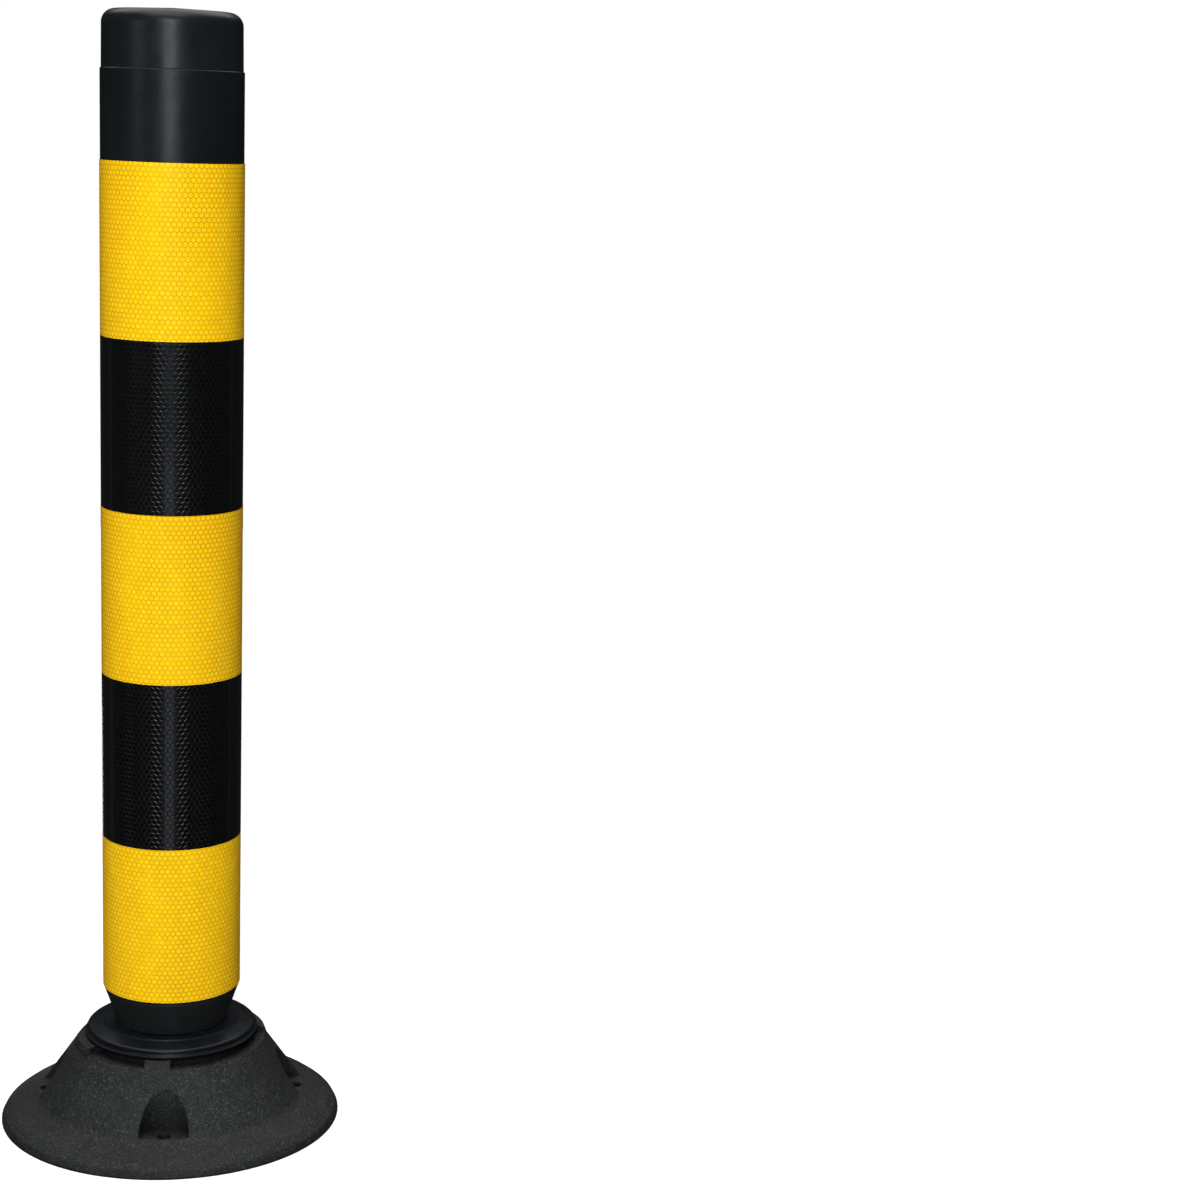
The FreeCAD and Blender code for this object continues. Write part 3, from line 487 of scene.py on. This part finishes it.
# ------------------------------------------------------- stage and lights
floor_mesh = bpy.data.meshes.new("floor")
bm = bmesh.new()
bmesh.ops.create_circle(bm, cap_ends=True, segments=96, radius=60.0)
bm.to_mesh(floor_mesh)
bm.free()
floor = bpy.data.objects.new("floor", floor_mesh)
scene.collection.objects.link(floor)
floor.location.z = -0.0002
fm = bpy.data.materials.new("floor_pale")
fm.use_nodes = True
nt = fm.node_tree
nt.nodes.clear()
o = nt.nodes.new("ShaderNodeOutputMaterial")
lp = nt.nodes.new("ShaderNodeLightPath")
seen = nt.nodes.new("ShaderNodeBsdfDiffuse")
seen.inputs[0].default_value = (0.88, 0.88, 0.88, 1)
glow = nt.nodes.new("ShaderNodeEmission")
glow.inputs[1].default_value = 0.30
both = nt.nodes.new("ShaderNodeAddShader")
nt.links.new(seen.outputs[0], both.inputs[0])
nt.links.new(glow.outputs[0], both.inputs[1])
far = nt.nodes.new("ShaderNodeEmission")
far.inputs[1].default_value = 1.0
geo = nt.nodes.new("ShaderNodeTexCoord")
ln = nt.nodes.new("ShaderNodeVectorMath")
ln.operation = "LENGTH"
nt.links.new(geo.outputs["Object"], ln.inputs[0])
mr = nt.nodes.new("ShaderNodeMapRange")
mr.interpolation_type = "SMOOTHSTEP"
for i, v in ((1, 0.22), (2, 0.85), (3, 0.0), (4, 1.0)):
    mr.inputs[i].default_value = v
nt.links.new(ln.outputs["Value"], mr.inputs[0])
under = nt.nodes.new("ShaderNodeMapRange")
under.interpolation_type = "SMOOTHSTEP"
for i, v in ((1, 0.088), (2, 0.108), (3, 0.0), (4, 0.50)):
    under.inputs[i].default_value = v
nt.links.new(ln.outputs["Value"], under.inputs[0])
nt.links.new(under.outputs[0], glow.inputs[1])
near = nt.nodes.new("ShaderNodeMixShader")
nt.links.new(mr.outputs[0], near.inputs[0])
nt.links.new(both.outputs[0], near.inputs[1])
nt.links.new(far.outputs[0], near.inputs[2])
dim = nt.nodes.new("ShaderNodeBsdfDiffuse")
dim.inputs[0].default_value = (0.25, 0.25, 0.25, 1)
ms = nt.nodes.new("ShaderNodeMixShader")
nt.links.new(lp.outputs["Is Camera Ray"], ms.inputs[0])
nt.links.new(dim.outputs[0], ms.inputs[1])
nt.links.new(near.outputs[0], ms.inputs[2])
nt.links.new(ms.outputs[0], o.inputs[0])
floor_mesh.materials.append(fm)
floor.visible_glossy = False

world = bpy.data.worlds.new("studio")
scene.world = world
world.use_nodes = True
nt = world.node_tree
nt.nodes.clear()
o = nt.nodes.new("ShaderNodeOutputWorld")
lp = nt.nodes.new("ShaderNodeLightPath")
bright = nt.nodes.new("ShaderNodeBackground")
bright.inputs[0].default_value = (1, 1, 1, 1)
bright.inputs[1].default_value = 1.0
fill = nt.nodes.new("ShaderNodeBackground")
fill.inputs[0].default_value = (1, 1, 1, 1)
fill.inputs[1].default_value = 0.085
dark = nt.nodes.new("ShaderNodeBackground")
dark.inputs[0].default_value = (0.85, 0.93, 1, 1)
dark.inputs[1].default_value = 0.017
m1 = nt.nodes.new("ShaderNodeMixShader")
m2 = nt.nodes.new("ShaderNodeMixShader")
nt.links.new(lp.outputs["Is Glossy Ray"], m1.inputs[0])
nt.links.new(fill.outputs[0], m1.inputs[1])
nt.links.new(dark.outputs[0], m1.inputs[2])
nt.links.new(lp.outputs["Is Camera Ray"], m2.inputs[0])
nt.links.new(m1.outputs[0], m2.inputs[1])
nt.links.new(bright.outputs[0], m2.inputs[2])
nt.links.new(m2.outputs[0], o.inputs[0])


def area(name, loc, aim, sx, sy, power, color=(1, 1, 1), gloss=True, diffuse=True):
    L = bpy.data.lights.new(name, "AREA")
    L.shape = "RECTANGLE"
    L.size, L.size_y = sx, sy
    L.energy = power
    L.color = color
    ob = bpy.data.objects.new(name, L)
    scene.collection.objects.link(ob)
    ob.location = loc
    ob.rotation_mode = "QUATERNION"
    ob.rotation_quaternion = (Vector(aim) - Vector(loc)).to_track_quat("-Z", "Y")
    ob.visible_glossy = gloss
    ob.visible_diffuse = diffuse
    ob.visible_camera = False
    return ob


sun = bpy.data.lights.new("top_soft", "SUN")
sun.energy = 1.12
sun.angle = math.radians(75)
so = bpy.data.objects.new("top_soft", sun)
scene.collection.objects.link(so)
so.rotation_mode = "QUATERNION"
so.rotation_quaternion = Vector((0.12, 0.25, -1.0)).to_track_quat("-Z", "Y")
so.visible_glossy = False
# soft fill for the colours, from the front and slightly left
area("front_fill", (-0.14, -2.1, 1.55), (0, 0, 0.30), 0.6, 1.3, 68.0, (0.97, 1.0, 0.98), gloss=False)
area("rear_fill", (0.5, 2.6, 0.90), (0, 0, 0.33), 1.2, 1.6, 30.0, gloss=False)
area("low_left", (-1.5, 0.25, 0.12), (0, 0, 0.22), 0.5, 0.3, 1.5, gloss=False)
area("low_right", (1.5, 0.25, 0.12), (0, 0, 0.22), 0.5, 0.3, 1.5, gloss=False)
# strips that only the glossy surfaces show; they reach below the floor, which
# those surfaces don't show, because the upright tube mirrors what lies lower
area("front_low_strip", (-0.04, -2.2, -0.75), (0, 0, -0.30), 0.62, 1.7, 2.6, (0.84, 0.90, 1.0), diffuse=False)
area("front_glint", (-0.02, -2.2, 1.10), (0, 0, 0.45), 0.46, 1.2, 13.0, (0.84, 0.90, 1.0), diffuse=False)
area("rear_strip", (-0.5, 2.3, -1.15), (0, 0, -0.5), 0.5, 1.6, 3.0, diffuse=False)
area("ceiling_sheet", (0.0, 0.95, 2.3), (0, 0, 0.5), 2.8, 2.0, 26.0, diffuse=False)
area("left_cap_glow", (-1.73, -1.35, 0.78), (0, 0, 0.62), 0.6, 0.5, 1.1, (0.86, 0.92, 1.0), diffuse=False)
area("floor_sheen", (-0.1, -1.0, -2.1), (0, 0, 0.04), 3.4, 0.6, 5.0, diffuse=False)
area("left_rim", (-2.1, 0.9, -0.3), (0, 0, 0.2), 0.25, 2.0, 0.12, diffuse=False)
area("right_rim", (2.1, 0.9, -0.3), (0, 0, 0.2), 0.25, 2.0, 0.08, diffuse=False)
area("top_strip", (-0.1, -0.45, 2.2), (0, 0, 0.6), 1.3, 1.0, 7.0, diffuse=False)

scene.view_settings.view_transform = "Standard"
scene.view_settings.look = "None"
scene.view_settings.exposure = 0.0
scene.view_settings.gamma = 1.0
